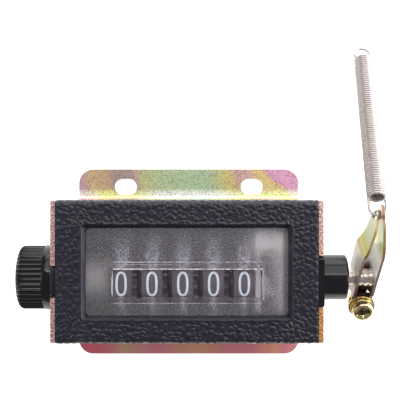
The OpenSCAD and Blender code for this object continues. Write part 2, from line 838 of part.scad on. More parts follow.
module flat_washer() { color("khaki") washer(3.5, 1.6, 0, flat_washer_t); }

module spring_washer() {
    color("khaki") washer(3.1, 1.6, flat_washer_t, spring_washer_t)
        rotate([25, 0, 0]) translate([0, -0.25, -2]) cube([5, 0.5, 5]);
}

module clamp_nut() {
    color("khaki") on_ears() translate([0, 0, -2 * lever_t - nut_t]) difference() {
        cylinder(r = 3.1, h = nut_t, $fn = 6);
        translate([0, 0, -through]) cylinder(r = clamp_screw_r, h = nut_t + 2 * through);
    }
}

// The end wire's turn round a centre on the spring's axis, from one angle through a sweep
module hook_turn(z, from, sweep) {
    translate([0, 0, z]) rotate([90, 0, 0]) rotate([0, 0, from]) rotate_extrude(angle = sweep)
        translate([spring_mean_r, 0]) circle(wire_r);
}

// Straight wire from the coils to a hook's turn, on the side s of the axis
module hook_neck_wire(z, s) {
    translate([s * spring_mean_r, 0, z]) cylinder(r = wire_r, h = hook_neck + 0.4);
}

module actuating_spring() {
    color("lightgray") translate([loop_x, hole_y, hole_z])
        rotate([-90 - spring_drop, 0, 0]) rotate([0, spring_slant, 0]) {
            hook_turn(spring_mean_r, 180, 180);
            for (s = [-1, 1]) hook_neck_wire(spring_mean_r, s);
            translate([0, 0, coil_start]) difference() {
                cylinder(r = spring_d / 2, h = coil_length);
                translate([0, 0, -through])
                    cylinder(r = spring_d / 2 - wire_d, h = coil_length + 2 * through);
            }
            hook_neck_wire(coil_end - 0.4, 1);
            hook_turn(coil_end + hook_neck, 0, 215);
        }
}

mounting_frame();
front_cover();
window_lens();
cover_screws();
left_bearing_block();
right_bearing_block();
ratchet_bracket();
bracket_rivets();
reset_shaft();
reset_knob();
shaft_clip();
wheel_spacer();
number_wheel(0);  // units_wheel
number_wheel(1);  // tens_wheel
number_wheel(2);  // hundreds_wheel
number_wheel(3);  // thousands_wheel
number_wheel(4);  // ten_thousands_wheel
reset_pawl(0);  // units_reset_pawl
reset_pawl(1);  // tens_reset_pawl
reset_pawl(2);  // hundreds_reset_pawl
reset_pawl(3);  // thousands_reset_pawl
reset_pawl(4);  // ten_thousands_reset_pawl
pinion(1);  // tens_pinion
pinion(2);  // hundreds_pinion
pinion(3);  // thousands_pinion
pinion(4);  // ten_thousands_pinion
pinion_shaft();
drive_shaft();
drive_crank();
pawl_pin();
drive_pawl();
drive_pawl_spring();
backstop_pin();
backstop_pawl();
backstop_spring();
lever_return_spring();
lever_arm();
clamp_screw();
spring_washer();
flat_washer();
clamp_nut();
actuating_spring();
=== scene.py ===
"""Looks of the mechanical stroke counter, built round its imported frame."""
import json
import math

import bmesh
import bpy
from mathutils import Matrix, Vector, noise


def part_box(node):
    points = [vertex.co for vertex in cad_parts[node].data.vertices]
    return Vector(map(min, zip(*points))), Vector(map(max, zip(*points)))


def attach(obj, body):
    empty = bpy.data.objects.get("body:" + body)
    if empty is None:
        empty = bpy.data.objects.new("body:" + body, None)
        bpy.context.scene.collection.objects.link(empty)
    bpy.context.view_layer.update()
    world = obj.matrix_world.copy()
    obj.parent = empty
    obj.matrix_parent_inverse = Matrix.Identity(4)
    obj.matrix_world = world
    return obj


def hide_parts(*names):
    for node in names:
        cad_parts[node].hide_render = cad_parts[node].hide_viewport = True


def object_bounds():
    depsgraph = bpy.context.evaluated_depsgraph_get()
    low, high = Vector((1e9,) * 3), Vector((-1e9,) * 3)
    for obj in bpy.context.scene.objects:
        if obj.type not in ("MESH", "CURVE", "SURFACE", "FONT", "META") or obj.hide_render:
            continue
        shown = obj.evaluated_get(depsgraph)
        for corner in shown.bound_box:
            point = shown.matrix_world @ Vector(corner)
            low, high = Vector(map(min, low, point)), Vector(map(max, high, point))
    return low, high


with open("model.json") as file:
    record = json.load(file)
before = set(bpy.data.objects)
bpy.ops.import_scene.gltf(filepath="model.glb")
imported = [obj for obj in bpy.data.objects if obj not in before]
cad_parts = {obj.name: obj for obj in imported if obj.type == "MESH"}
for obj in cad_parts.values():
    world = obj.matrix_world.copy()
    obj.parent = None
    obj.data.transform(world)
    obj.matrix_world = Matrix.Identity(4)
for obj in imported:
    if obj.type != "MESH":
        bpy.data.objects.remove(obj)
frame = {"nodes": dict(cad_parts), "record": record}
cad_low, cad_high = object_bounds()
noise.seed_set(1)                            # or each run warps the grain its own way

MM = 0.001
TAU = 2 * math.pi
WHEELS = ["units", "tens", "hundreds", "thousands", "ten_thousands"]
LEVER_LEAN = 33                              # degrees towards the front, at rest
WINDOW_W, WINDOW_H, WINDOW_BEVEL = 51.5, 23.3, 0.85      # mm, at the cover's face
CAMERA_X, CAMERA_Y, CAMERA_OFF_PLATES = 3.2, 17.6, 204   # mm, the photo's viewpoint


def joint_place(name):
    for joint in frame["record"]["behaviour"]["joints"]:
        if joint["name"] == name:
            return Vector(joint["pos_m"])


def centre(node):
    low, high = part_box(node)
    return (low + high) / 2


# ---------------------------------------------------------------- materials

class Finish:
    """A node material on one Principled shader, with short calls for the usual nodes."""

    def __init__(self, name, color, metallic=0.0, roughness=0.5, **sockets):
        self.material = bpy.data.materials.new(name)
        self.material.use_nodes = True
        self.tree = self.material.node_tree
        self.shader = self.tree.nodes["Principled BSDF"]
        self.set("Base Color", (*color, 1.0))
        self.set("Metallic", metallic)
        self.set("Roughness", roughness)
        for socket, value in sockets.items():
            self.set(socket.replace("_", " "), value)
        self.where = self.tree.nodes.new("ShaderNodeTexCoord").outputs["Object"]

    def set(self, socket, value):
        self.shader.inputs[socket].default_value = value

    def node(self, kind, **settings):
        made = self.tree.nodes.new("ShaderNode" + kind)
        for key, value in settings.items():
            setattr(made, key, value)
        return made

    def link(self, source, target):
        self.tree.links.new(source, target)

    def to(self, source, socket):
        self.link(source, self.shader.inputs[socket])

    def place(self, scale=(1, 1, 1), rotation=(0, 0, 0)):
        """Object coordinates in millimetres, stretched and turned."""
        mapping = self.node("Mapping")
        mapping.inputs["Scale"].default_value = [s / MM for s in scale]
        mapping.inputs["Rotation"].default_value = rotation
        self.link(self.where, mapping.inputs["Vector"])
        return mapping.outputs["Vector"]

    def axes(self, vector=None):
        """The x, y and z of a vector: the place in millimetres, unless another is given."""
        made = self.node("SeparateXYZ")
        self.link(vector or self.place(), made.inputs[0])
        return made.outputs

    def noise(self, size_mm, detail=2.0, vector=None):
        made = self.node("TexNoise")
        made.inputs["Scale"].default_value = 1 / size_mm
        made.inputs["Detail"].default_value = detail
        self.link(vector or self.place(), made.inputs["Vector"])
        return made.outputs["Fac"]

    def math(self, operation, a, b=None, clamp=False):
        made = self.node("Math", operation=operation, use_clamp=clamp)
        for socket, value in zip(made.inputs, (a, b)):
            if value is None:
                continue
            if isinstance(value, (int, float)):
                socket.default_value = value
            else:
                self.link(value, socket)
        return made.outputs[0]

    def remap(self, value, low, high, to_low, to_high):
        made = self.node("MapRange")
        for socket, number in zip(made.inputs[1:5], (low, high, to_low, to_high)):
            socket.default_value = number
        self.link(value, made.inputs["Value"])
        return made.outputs["Result"]

    def ramp(self, value, stops):
        made = self.node("ValToRGB")
        elements = made.color_ramp.elements
        while len(elements) < len(stops):
            elements.new(1.0)
        for element, (place, color) in zip(elements, stops):
            element.position = place
            element.color = (*color, 1.0)
        self.link(value, made.inputs["Fac"])
        return made.outputs["Color"]

    def mix(self, factor, a, b, blend="MIX"):
        made = self.node("Mix", data_type="RGBA", blend_type=blend)
        color_inputs = [s for s in made.inputs if s.type == "RGBA"]
        for socket, value in zip([made.inputs["Factor"]] + color_inputs, (factor, a, b)):
            if isinstance(value, (int, float)):
                socket.default_value = value
            elif isinstance(value, tuple):
                socket.default_value = (*value, 1.0)
            else:
                self.link(value, socket)
        return [s for s in made.outputs if s.type == "RGBA"][0]

    def bump(self, height, distance_mm):
        made = self.node("Bump")
        made.inputs["Distance"].default_value = distance_mm * MM
        made.inputs["Strength"].default_value = 1.0
        self.link(height, made.inputs["Height"])
        before = self.shader.inputs["Normal"]
        if before.is_linked:
            self.link(before.links[0].from_socket, made.inputs["Normal"])
        self.link(made.outputs["Normal"], before)


def srgb(red, green, blue):
    """Linear colour from the 0 to 255 values seen on a screen."""
    return tuple(c / 12.92 if c <= 0.04045 else ((c + 0.055) / 1.055) ** 2.4
                 for c in (red / 255, green / 255, blue / 255))


TAB_HALF = 31.4                              # mm, half a mounting tab's width
# Colours of the passivation film across a mounting tab: mm from the middle, and colour
UPPER_FILM = [
    (-31, (188, 152, 170)), (-28, (190, 154, 166)), (-26.5, (198, 172, 136)),
    (-22.5, (192, 162, 130)), (-20.5, (170, 148, 138)), (-15.5, (164, 146, 140)),
    (-13.8, (190, 154, 156)), (-12.8, (186, 184, 136)), (-6, (176, 188, 150)),
    (4, (166, 188, 158)), (10, (178, 182, 140)), (13.5, (200, 186, 118)),
    (15.5, (196, 162, 150)), (20.5, (200, 162, 164)), (22, (206, 186, 126)),
    (26, (210, 186, 132)), (27.6, (206, 150, 184)), (31, (208, 156, 186))]
LOWER_FILM = [
    (-31, (184, 88, 102)), (-26, (186, 94, 110)), (-21, (184, 110, 114)),
    (-17.5, (174, 136, 112)), (-13, (182, 122, 124)), (-8, (186, 112, 128)),
    (-3, (188, 128, 118)), (4, (190, 138, 112)), (10, (186, 120, 120)), (18, (188, 110, 128)),
    (23, (194, 130, 116)), (26.5, (198, 140, 114)), (29, (198, 118, 130)),
    (31, (200, 126, 134))]
# Colours of the painted highlight along the upper tab's bend: mm from the middle, and colour
BEND_HIGHLIGHT_COLOURS = [
    (-31, (232, 205, 215)), (-27, (240, 225, 200)), (-24, (250, 236, 150)),
    (-14, (252, 244, 170)), (-8, (240, 250, 222)), (8, (238, 250, 226)),
    (15, (252, 246, 176)), (24, (250, 240, 160)), (28, (250, 236, 214)), (31, (246, 226, 232))]


def film_ramp(f, along, stops, gain):
    """The film's colour, or the painted bend highlight's, at a place along a tab, in mm, made
    brighter by a gain.
    """
    share = f.remap(along, -TAB_HALF, TAB_HALF, 0, 1)
    gained = [(x, tuple(min(1.0, gain * c) for c in srgb(*color))) for x, color in stops]
    return f.ramp(share, [(x / (2 * TAB_HALF) + 0.5, color) for x, color in gained])


def zinc_sheet():
    """Yellow-zinc plate: the passivation film drifts between pink, ochre and green."""
    f = Finish("zinc_sheet", (0.6, 0.5, 0.35), metallic=0.65, roughness=0.45)
    x, y, z = f.axes()
    wander = f.math("MULTIPLY", f.remap(f.noise(7), 0, 1, -1, 1), f.remap(z, 2, 7, 2.5, 60))
    slant = f.math("MULTIPLY", f.remap(x, 10, 22, 0.15, 1.2), f.math("SUBTRACT", y, 22.0))
    along = f.math("ADD", f.math("ADD", x, wander), f.remap(z, 2, 5, 1, 0))
    slanted = f.math("ADD", along, slant)
    upper = film_ramp(f, slanted, UPPER_FILM, 1.2)
    lower = film_ramp(f, along, LOWER_FILM, 1.75)

    # painted highlight: the bright line where the upper tab bends into the frame, painted wider
    # than the bend reflects it
    ragged = f.math("ADD", y, f.remap(f.noise(0.6), 0, 1, -0.5, 0.5))
    painted_bend_highlight = f.math("MULTIPLY", f.remap(ragged, 20.9, 19.6, 0, 1),
                   f.math("MULTIPLY", f.remap(y, 17.9, 18.3, 0, 1), f.remap(z, 4, 3, 0, 1)))
    upper = f.mix(painted_bend_highlight, upper, film_ramp(f, slanted, BEND_HIGHLIGHT_COLOURS, 1.3))
    color = f.mix(f.remap(y, -14, 12, 1, 0), upper, lower)

    # the side plates, and the bend of the lower tab, are blotched at random
    plates = f.ramp(f.remap(f.noise(9), 0.32, 0.68, 0, 1),
                    [(0.0, srgb(166, 138, 140)), (0.3, srgb(178, 156, 124)),
                     (0.6, srgb(160, 162, 128)), (0.8, srgb(168, 146, 130)),
                     (1.0, srgb(158, 130, 142))])
    bent = f.math("MULTIPLY", f.remap(y, -10, -12, 0, 1), f.remap(z, 1.7, 2.8, 0, 1))
    color = f.mix(f.math("MAXIMUM", f.remap(z, 3.6, 6.5, 0, 1), bent), color, plates)

    speckle = f.noise(0.34)
    mottle = f.ramp(f.remap(speckle, 0.36, 0.64, 0, 1), [(0.0, (0.5, 0.48, 0.54)),
                                                        (0.45, (0.92, 0.92, 0.88)),
                                                        (1.0, (1.0, 1.0, 0.9))])
    grainy = f.remap(y, 12, 18, 0.25, 0.95)
    f.to(f.mix(grainy, color, mottle, "MULTIPLY"), "Base Color")
    f.to(f.remap(f.noise(0.5), 0.3, 0.7, 0.34, 0.5), "Roughness")
    f.bump(speckle, 0.015)
    f.bump(f.noise(5, 1.0), 0.04)
    return f.material


def cut_edge(name, dark, middle, light, tint=None):
    """A sheared sheet edge with speckled plating; tint shifts its colour low on the right."""
    f = Finish(name, light, metallic=0.8, roughness=0.5)
    grain = f.noise(0.36)
    color = f.ramp(f.remap(grain, 0.36, 0.64, 0, 1),
                   [(0.0, srgb(*dark)), (0.5, srgb(*middle)), (1.0, srgb(*light))])
    if tint:
        x, y, _ = f.axes()
        wander = f.math("ADD", y, f.remap(f.noise(3), 0, 1, -6, 6))
        share = f.math("MULTIPLY", f.remap(x, -5, 5, 0, 1), f.remap(wander, 8, -2, 0, 1))
        color = f.mix(share, color, f.mix(1.0, color, srgb(*tint), "MULTIPLY"))
    f.to(color, "Base Color")
    f.bump(grain, 0.08)
    return f.material


def cover_plastic():
    f = Finish("cover_plastic", (0.010, 0.009, 0.016), roughness=0.34, Specular_IOR_Level=0.46)
    fine = f.noise(0.22, 3.0)
    f.to(f.remap(fine, 0.3, 0.7, 0.27, 0.42), "Roughness")
    f.to(f.mix(f.noise(3.0), (0.007, 0.006, 0.013), (0.012, 0.011, 0.021)), "Base Color")
    f.bump(fine, 0.03)
    return f.material


def black_plastic():
    f = Finish("black_plastic", (0.006, 0.005, 0.008), roughness=0.15, Specular_IOR_Level=0.41)
    f.to(f.remap(f.noise(1.2, 3.0), 0.3, 0.7, 0.11, 0.2), "Roughness")
    f.to(f.mix(f.noise(5.0), (0.004, 0.003, 0.005), (0.009, 0.008, 0.011)), "Base Color")
    f.bump(f.noise(0.6, 3.0), 0.005)
    return f.material


def painted_glow_through_pane(f):
    """Painted light: the pane is whitened where the parts close behind it would shine through,
    the ratchet bracket and the spacer.
    """
    low, high = (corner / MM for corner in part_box("ratchet_bracket"))
    spacer = centre("wheel_spacer") / MM
    wander = f.node("VectorMath", operation="MULTIPLY_ADD")
    drift = f.node("TexNoise")
    drift.inputs["Scale"].default_value = 0.45
    f.link(f.place(), drift.inputs["Vector"])
    f.link(drift.outputs["Color"], wander.inputs[0])
    wander.inputs[1].default_value = (3, 3, 0)
    f.link(f.place(), wander.inputs[2])
    x, y, _ = f.axes(wander.outputs[0])

    def between(value, start, end, soft):
        return f.math("MULTIPLY", f.remap(value, start - soft, start + soft, 0, 1),
                      f.remap(value, end - soft, end + soft, 1, 0))

    bridge = f.math("MULTIPLY", between(x, low.x - 0.4, high.x + 2.6, 1.6),
                    between(y, high.y - 3.6, high.y + 0.8, 1.5))
    leg = f.math("MULTIPLY", between(x, high.x - 0.6, high.x + 2.4, 1.4),
                 between(y, low.y + 1, high.y, 3.5))
    blob = f.math("MULTIPLY", between(x, spacer.x - 1.4, spacer.x + 4.4, 2.0),
                  between(y, spacer.y - 1.6, spacer.y + 6.0, 2.4))
    total = f.math("ADD", f.math("MULTIPLY", bridge, 0.78), f.math("MULTIPLY", leg, 0.3))
    return f.math("ADD", total, f.math("MULTIPLY", blob, 0.75), clamp=True)


def frosted_pane():
    f = Finish("frosted_pane", (0.42, 0.40, 0.44), roughness=0.45,
               Transmission_Weight=0.88, IOR=1.49)
    grain = f.noise(0.25)
    f.to(f.remap(grain, 0.3, 0.7, 0.36, 0.56), "Roughness")
    color = f.ramp(f.remap(grain, 0.36, 0.64, 0, 1), [(0.0, (0.15, 0.135, 0.17)),
                                                     (0.5, (0.37, 0.345, 0.39)),
                                                     (1.0, (0.90, 0.86, 0.93))])
    # painted light: whiter where the parts behind would shine through the frosting
    f.to(f.mix(painted_glow_through_pane(f), color, (1.0, 0.96, 1.0)), "Base Color")
    f.bump(grain, 0.16)
    return f.material


def painted_highlight_ridge():
    """Painted highlight: the bright, glittering line where the lens's slope meets its flat."""
    f = Finish("painted_highlight_ridge", (0.8, 0.79, 0.82), roughness=0.2, Transmission_Weight=0.25,
               IOR=1.49)
    glint = f.noise(1.1, 3.0, f.place((1, 0.2, 0.2)))
    f.to(f.ramp(f.remap(glint, 0.4, 0.62, 0, 1), [(0.0, (0.42, 0.38, 0.40)),
                                                (0.5, (0.75, 0.72, 0.74)),
                                                (1.0, (1.0, 0.99, 1.0))]), "Base Color")
    f.bump(glint, 0.05)
    return f.material


def clear_lens():
    f = Finish("clear_lens", (0.93, 0.94, 0.97), roughness=0.03,
               Transmission_Weight=1.0, IOR=1.49)
    f.to(f.remap(f.noise(2.5, 3.0), 0.3, 0.7, 0.015, 0.07), "Roughness")
    f.bump(f.noise(3.0, 1.0), 0.01)
    return f.material


def wheel_plastic():
    f = Finish("wheel_plastic", (0.055, 0.048, 0.05), roughness=0.42)
    f.to(f.mix(f.noise(2.2, 3.0), (0.17, 0.145, 0.175), (0.24, 0.175, 0.20)), "Base Color")
    f.to(f.remap(f.noise(0.7), 0.3, 0.7, 0.34, 0.52), "Roughness")
    f.bump(f.noise(0.3), 0.01)
    return f.material


def numeral_ink_and_glow():
    # the emission is a painted glow that brightens the numerals behind the lens
    f = Finish("numeral_ink_and_glow", (0.78, 0.82, 0.92), roughness=0.45, Emission_Strength=0.3,
               Emission_Color=(0.86, 0.86, 0.96, 1.0))
    f.to(f.mix(f.noise(0.5, 3.0), (0.70, 0.74, 0.86), (0.86, 0.89, 0.96)), "Base Color")
    return f.material


def plain_plastic(name, dark, light, roughness):
    f = Finish(name, light, roughness=roughness)
    f.to(f.mix(f.noise(3.0, 3.0), dark, light), "Base Color")
    f.to(f.remap(f.noise(0.8), 0.3, 0.7, roughness - 0.06, roughness + 0.1), "Roughness")
    f.bump(f.noise(0.4), 0.01)
    return f.material


def turned_steel():
    """Bright steel with fine rings round the X axis."""
    f = Finish("turned_steel", (0.60, 0.58, 0.55), metallic=1.0, roughness=0.26)
    rings = f.noise(1.0, 2.0, f.place((9, 0.2, 0.2)))
    f.to(f.remap(rings, 0.3, 0.7, 0.18, 0.38), "Roughness")
    f.to(f.mix(f.noise(2.0), (0.62, 0.53, 0.50), (0.86, 0.78, 0.74)), "Base Color")
    f.bump(rings, 0.01)
    return f.material


def spring_wire():
    f = Finish("spring_wire", (0.50, 0.46, 0.44), metallic=0.6, roughness=0.25)
    f.to(f.mix(f.noise(1.6), (0.39, 0.345, 0.33), (0.52, 0.47, 0.455)), "Base Color")
    f.to(f.remap(f.noise(0.4), 0.3, 0.7, 0.14, 0.3), "Roughness")
    return f.material


def along_lever(f):
    """Millimetres up the lever from its shaft, and towards its front, on a finish's points."""
    shaft = joint_place("lever_swing") / MM
    lean = math.radians(LEVER_LEAN)
    out = []
    for axis in (Vector((0, math.cos(lean), math.sin(lean))),
                 Vector((0, -math.sin(lean), math.cos(lean)))):
        dot = f.node("VectorMath", operation="DOT_PRODUCT")
        f.link(f.place(), dot.inputs[0])
        dot.inputs[1].default_value = axis
        out.append(f.math("SUBTRACT", dot.outputs["Value"], shaft.dot(axis)))
    return out


def lever_ramp(f, reach, stops):
    """Colours along the lever, from its lower end to its tip."""
    start, end = -10, 21
    return f.ramp(f.remap(reach, start, end, 0, 1),
                  [((at - start) / (end - start), srgb(*color)) for at, color in stops])


def lever_zinc():
    """Clear zinc plate; beyond the fold its film runs from green-grey through a yellow band."""
    # the emission is a painted glow, laid only where the mask below says
    f = Finish("lever_zinc", (0.62, 0.62, 0.56), metallic=0.6, roughness=0.4,
               Emission_Strength=0.4)
    reach, forward = along_lever(f)

    # outer: the outsides of the two flanges; inner: all but them
    middle = centre("lever_arm").x / MM
    facing = f.axes(f.where.node.outputs["Normal"])[0]
    right = f.remap(f.axes()[0], middle - 0.1, middle + 0.1, 0, 1)
    outer = f.math("MULTIPLY", f.remap(facing, 0.4, 0.9, 0, 1), right)
    outer_left = f.math("MULTIPLY", f.remap(facing, -0.4, -0.9, 0, 1),
                        f.math("SUBTRACT", 1.0, right))
    inner = f.math("SUBTRACT", 1.0, f.math("MAXIMUM", outer, outer_left))

    # painted shade: the channel below the shaft is painted near black; above it, a painted glow
    # on the inner faces stands in for the light they throw on each other
    hollow = f.math("MULTIPLY", f.remap(forward, -3.3, -3.0, 1, 0),
                    f.remap(forward, -4.66, -4.6, 0, 1))
    painted_shade_below_shaft = f.math("MULTIPLY", hollow, f.remap(reach, -0.6, 0.6, 1, 0))
    dark = f.math("MULTIPLY", painted_shade_below_shaft, inner)
    painted_glow = f.math("MULTIPLY", f.math("MULTIPLY", inner, f.remap(forward, -4.7, -4.62, 0, 1)),
                 f.math("MULTIPLY", f.remap(reach, 0.8, 3.5, 0, 1),
                        f.remap(reach, 13, 9, 0, 1)))
    f.to(f.mix(painted_glow, (0.0, 0.0, 0.0), (0.62, 0.60, 0.56)), "Emission Color")

    reach = f.math("ADD", reach, f.remap(f.noise(2.5, 1.0), 0, 1, -0.4, 0.4))
    stops = [(-10, (150, 132, 118)), (-4, (150, 134, 122)), (2, (190, 186, 178)),
             (10.8, (210, 210, 203)), (11.3, (196, 204, 168)), (12.2, (214, 208, 140)),
             (12.5, (230, 230, 190)), (12.8, (206, 198, 120)), (14, (200, 208, 158)),
             (15, (196, 216, 186)), (18, (206, 214, 192)), (21, (220, 222, 212))]
    film = lever_ramp(f, reach, stops)
    film = f.mix(outer, film, f.mix(1.0, film, (0.62, 0.61, 0.58), "MULTIPLY"))
    # painted shade: near black in the channel below the shaft
    f.to(f.mix(dark, film, (0.02, 0.014, 0.012)), "Base Color")
    f.to(f.remap(f.noise(0.5), 0.3, 0.7, 0.36, 0.48), "Roughness")
    f.bump(f.noise(0.5, 3.0), 0.01)
    return f.material


def lever_cut():
    """The lever's sheared edges: brown-red, turning gold past the fold."""
    f = Finish("lever_edge", (0.3, 0.14, 0.12), metallic=0.7, roughness=0.45)
    reach, _ = along_lever(f)
    tone = lever_ramp(f, reach, [(-10, (108, 78, 64)), (-4, (80, 52, 46)), (6, (90, 58, 52)),
                                 (11, (108, 74, 60)), (13, (146, 122, 56)),
                                 (21, (136, 106, 78))])
    grain = f.noise(0.5)
    f.to(f.mix(f.remap(grain, 0.35, 0.65, 0, 0.25), tone, (0.40, 0.28, 0.22)), "Base Color")
    f.bump(grain, 0.04)
    return f.material


def screw_zinc():
    f = Finish("screw_zinc", (0.66, 0.54, 0.28), metallic=1.0, roughness=0.28)
    f.to(f.ramp(f.noise(1.8), [(0.36, (0.70, 0.56, 0.16)), (0.5, (0.74, 0.68, 0.42)),
                                    (0.64, (0.52, 0.26, 0.18))]), "Base Color")
    f.to(f.remap(f.noise(0.4), 0.3, 0.7, 0.14, 0.3), "Roughness")
    return f.material


def bracket_metal():
    # the faint emission is a painted glow that brightens the bracket behind the pane
    f = Finish("bracket_metal", (0.78, 0.74, 0.73), metallic=0.2, roughness=0.5,
               Emission_Strength=0.09, Emission_Color=(1.0, 0.95, 0.95, 1.0))
    f.to(f.mix(f.noise(3.0, 3.0), (0.70, 0.66, 0.65), (0.84, 0.80, 0.79)), "Base Color")
    f.bump(f.noise(0.5), 0.01)
    return f.material


MATERIALS = {
    "zinc_sheet": zinc_sheet(),
    "sheet_edge": cut_edge("sheet_edge", (116, 52, 66), (208, 160, 160), (252, 232, 206),
                           (246, 226, 150)),
    "tab_rim": cut_edge("tab_rim", (46, 44, 34), (96, 86, 66), (150, 118, 104)),
    "cover_plastic": cover_plastic(),
    "black_plastic": black_plastic(),
    "frosted_pane": frosted_pane(),
    "clear_lens": clear_lens(),
    "painted_highlight_ridge": painted_highlight_ridge(),
    "wheel_plastic": wheel_plastic(),
    "numeral_ink_and_glow": numeral_ink_and_glow(),
    "ivory_plastic": plain_plastic("ivory_plastic", (0.66, 0.60, 0.56), (0.78, 0.73, 0.68),
                                   0.45),
    "steel": turned_steel(),
    "spring_steel": spring_wire(),
    "lever_zinc": lever_zinc(),
    "lever_edge": lever_cut(),
    "screw_zinc": screw_zinc(),
    "bracket_metal": bracket_metal(),
    "brass": plain_plastic("brass", (0.60, 0.44, 0.20), (0.76, 0.60, 0.32), 0.35),
}


# ---------------------------------------------------------------- mesh helpers

def slot_of(node):
    for entry in frame["record"]["subparts"]:
        if entry["node"] == node:
            return entry["material_slot"]
    return None


def body_of(node):
    for body, members in frame["record"]["behaviour"]["bodies"].items():
        if node in members:
            return body
    return None


def piece_from(bm, name, materials, body, sharp_deg=32, turn_faces=True):
    """Turns a bmesh in metres into a piece that rides on a body."""
    mesh = bpy.data.meshes.new(name)
    if turn_faces:
        bmesh.ops.recalc_face_normals(bm, faces=bm.faces)
    bm.to_mesh(mesh)
    bm.free()
    for material in materials:
        mesh.materials.append(MATERIALS[material])
    mesh.polygons.foreach_set("use_smooth", [True] * len(mesh.polygons))
    mesh.set_sharp_from_angle(angle=math.radians(sharp_deg))
    piece = bpy.data.objects.new(name, mesh)
    bpy.context.scene.collection.objects.link(piece)
    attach(piece, body)
    return piece


def softened(node, width_mm, name=None, materials=None, pick=None, reshape=None):
    """A copy of a CAD node with its sharp edges rounded, standing for that node.

    reshape changes the copy first, and pick gives each face the index of its material.
    """
    bm = bmesh.new()
    bm.from_mesh(frame["nodes"][node].data)
    bmesh.ops.remove_doubles(bm, verts=bm.verts, dist=0.0008 * MM)
    bmesh.ops.dissolve_limit(bm, angle_limit=math.radians(0.6), verts=bm.verts, edges=bm.edges)
    if reshape:
        reshape(bm)
    edges = [e for e in bm.edges if len(e.link_faces) == 2
             and e.calc_face_angle(0.0) > math.radians(30)]
    bmesh.ops.bevel(bm, geom=edges, offset=width_mm * MM, segments=2, profile=0.5,
                    affect="EDGES", clamp_overlap=True, offset_type="OFFSET")
    if pick:
        for face in bm.faces:
            face.material_index = pick(face)
    piece = piece_from(bm, name or node + "_finish", materials or [slot_of(node)],
                       body_of(node))
    shade = piece.modifiers.new("shade", "WEIGHTED_NORMAL")
    shade.keep_sharp = True
    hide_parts(node)
    return piece


# ---------------------------------------------------------------- pieces

def tube_along(bm, points, radius, sides=10):
    """Sweeps a round wire along points, with a cross-section that doesn't twist."""
    rings = []
    normal = None
    for i, point in enumerate(points):
        tangent = (points[min(i + 1, len(points) - 1)] - points[max(i - 1, 0)]).normalized()
        if normal is None:
            normal = tangent.orthogonal()
        normal = (normal - tangent * normal.dot(tangent)).normalized()
        side = tangent.cross(normal)
        rings.append([bm.verts.new(point + radius * (math.cos(a) * normal + math.sin(a) * side))
                      for a in (TAU * k / sides for k in range(sides))])
    for first, second in zip(rings, rings[1:]):
        for k in range(sides):
            bm.faces.new((first[k], first[(k + 1) % sides], second[(k + 1) % sides], second[k]))
    bm.faces.new(rings[0])
    bm.faces.new(rings[-1])


def actuating_spring():
    """A close-wound helix with a half-turn hook through the lever and an open hook on top."""
    hole = joint_place("spring_swing")
    tip_mount = [m for m in frame["record"]["mounts"] if m["name"] == "spring_hook"][0]
    along = Vector(tip_mount["pos_m"]) - hole
    reach = along.length
    up = along.normalized()
    right = (Vector((1, 0, 0)) - up * up.x).normalized()
    front = up.cross(right)
    wire, mean_r, neck = 0.35 * MM, 2.15 * MM, 2 * MM
    pitch = 0.745 * MM
    low, high = mean_r + 1.45 * neck, reach - mean_r - neck
    turns = round((high - low) / pitch - 0.5) + 0.5

    def at(side, depth, height):
        return hole + right * side + front * depth + up * height

    points = [at(mean_r, 0, low - 0.3 * MM)]
    points += [at(mean_r * math.cos(a), 0, mean_r + mean_r * math.sin(a))
               for a in (-math.pi * k / 14 for k in range(15))]
    points += [at(-mean_r, 0, low - 0.6 * MM), at(-mean_r, 0.05 * MM, low - 0.1 * MM)]
    steps = int(turns * 22)
    for k in range(1, steps):
        a = math.pi + TAU * turns * k / steps
        points.append(at(mean_r * math.cos(a), mean_r * math.sin(a),
                         low + wire + (high - low - 2 * wire) * k / steps))
    points += [at(mean_r, 0, high + 0.5 * MM)]
    points += [at(mean_r * math.cos(a), 0, high + neck + mean_r * math.sin(a))
               for a in (math.radians(215) * k / 18 for k in range(19))]
    bm = bmesh.new()
    tube_along(bm, points, wire, 9)
    piece = piece_from(bm, "actuating_coil", ["spring_steel"], body_of("actuating_spring"),
                       60)
    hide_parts("actuating_spring")


def return_spring():
    """The lever's torsion spring: a coil round the shaft line with a leg at each end."""
    low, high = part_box("lever_return_spring")
    shaft = joint_place("lever_swing")
    wire, mean_r = 0.34 * MM, 4.4 * MM
    x0, x1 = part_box("right_bearing_block")[0].x + 0.55 * MM, high.x - 1.4 * MM
    turns = 4.75
    points = [Vector((low.x + 0.1 * MM, shaft.y, shaft.z - mean_r)),
              Vector((x0 - 0.3 * MM, shaft.y, shaft.z - mean_r))]
    steps = int(turns * 24)
    for k in range(steps + 1):
        a = -math.pi / 2 - TAU * turns * k / steps
        points.append(Vector((x0 + (x1 - x0) * k / steps, shaft.y + mean_r * math.cos(a),
                              shaft.z + mean_r * math.sin(a))))
    points.append(Vector((high.x, points[-1].y, points[-1].z)))
    bm = bmesh.new()
    tube_along(bm, points, wire, 8)
    piece = piece_from(bm, "return_coil", ["spring_steel"], body_of("lever_return_spring"),
                       60)
    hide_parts("lever_return_spring")


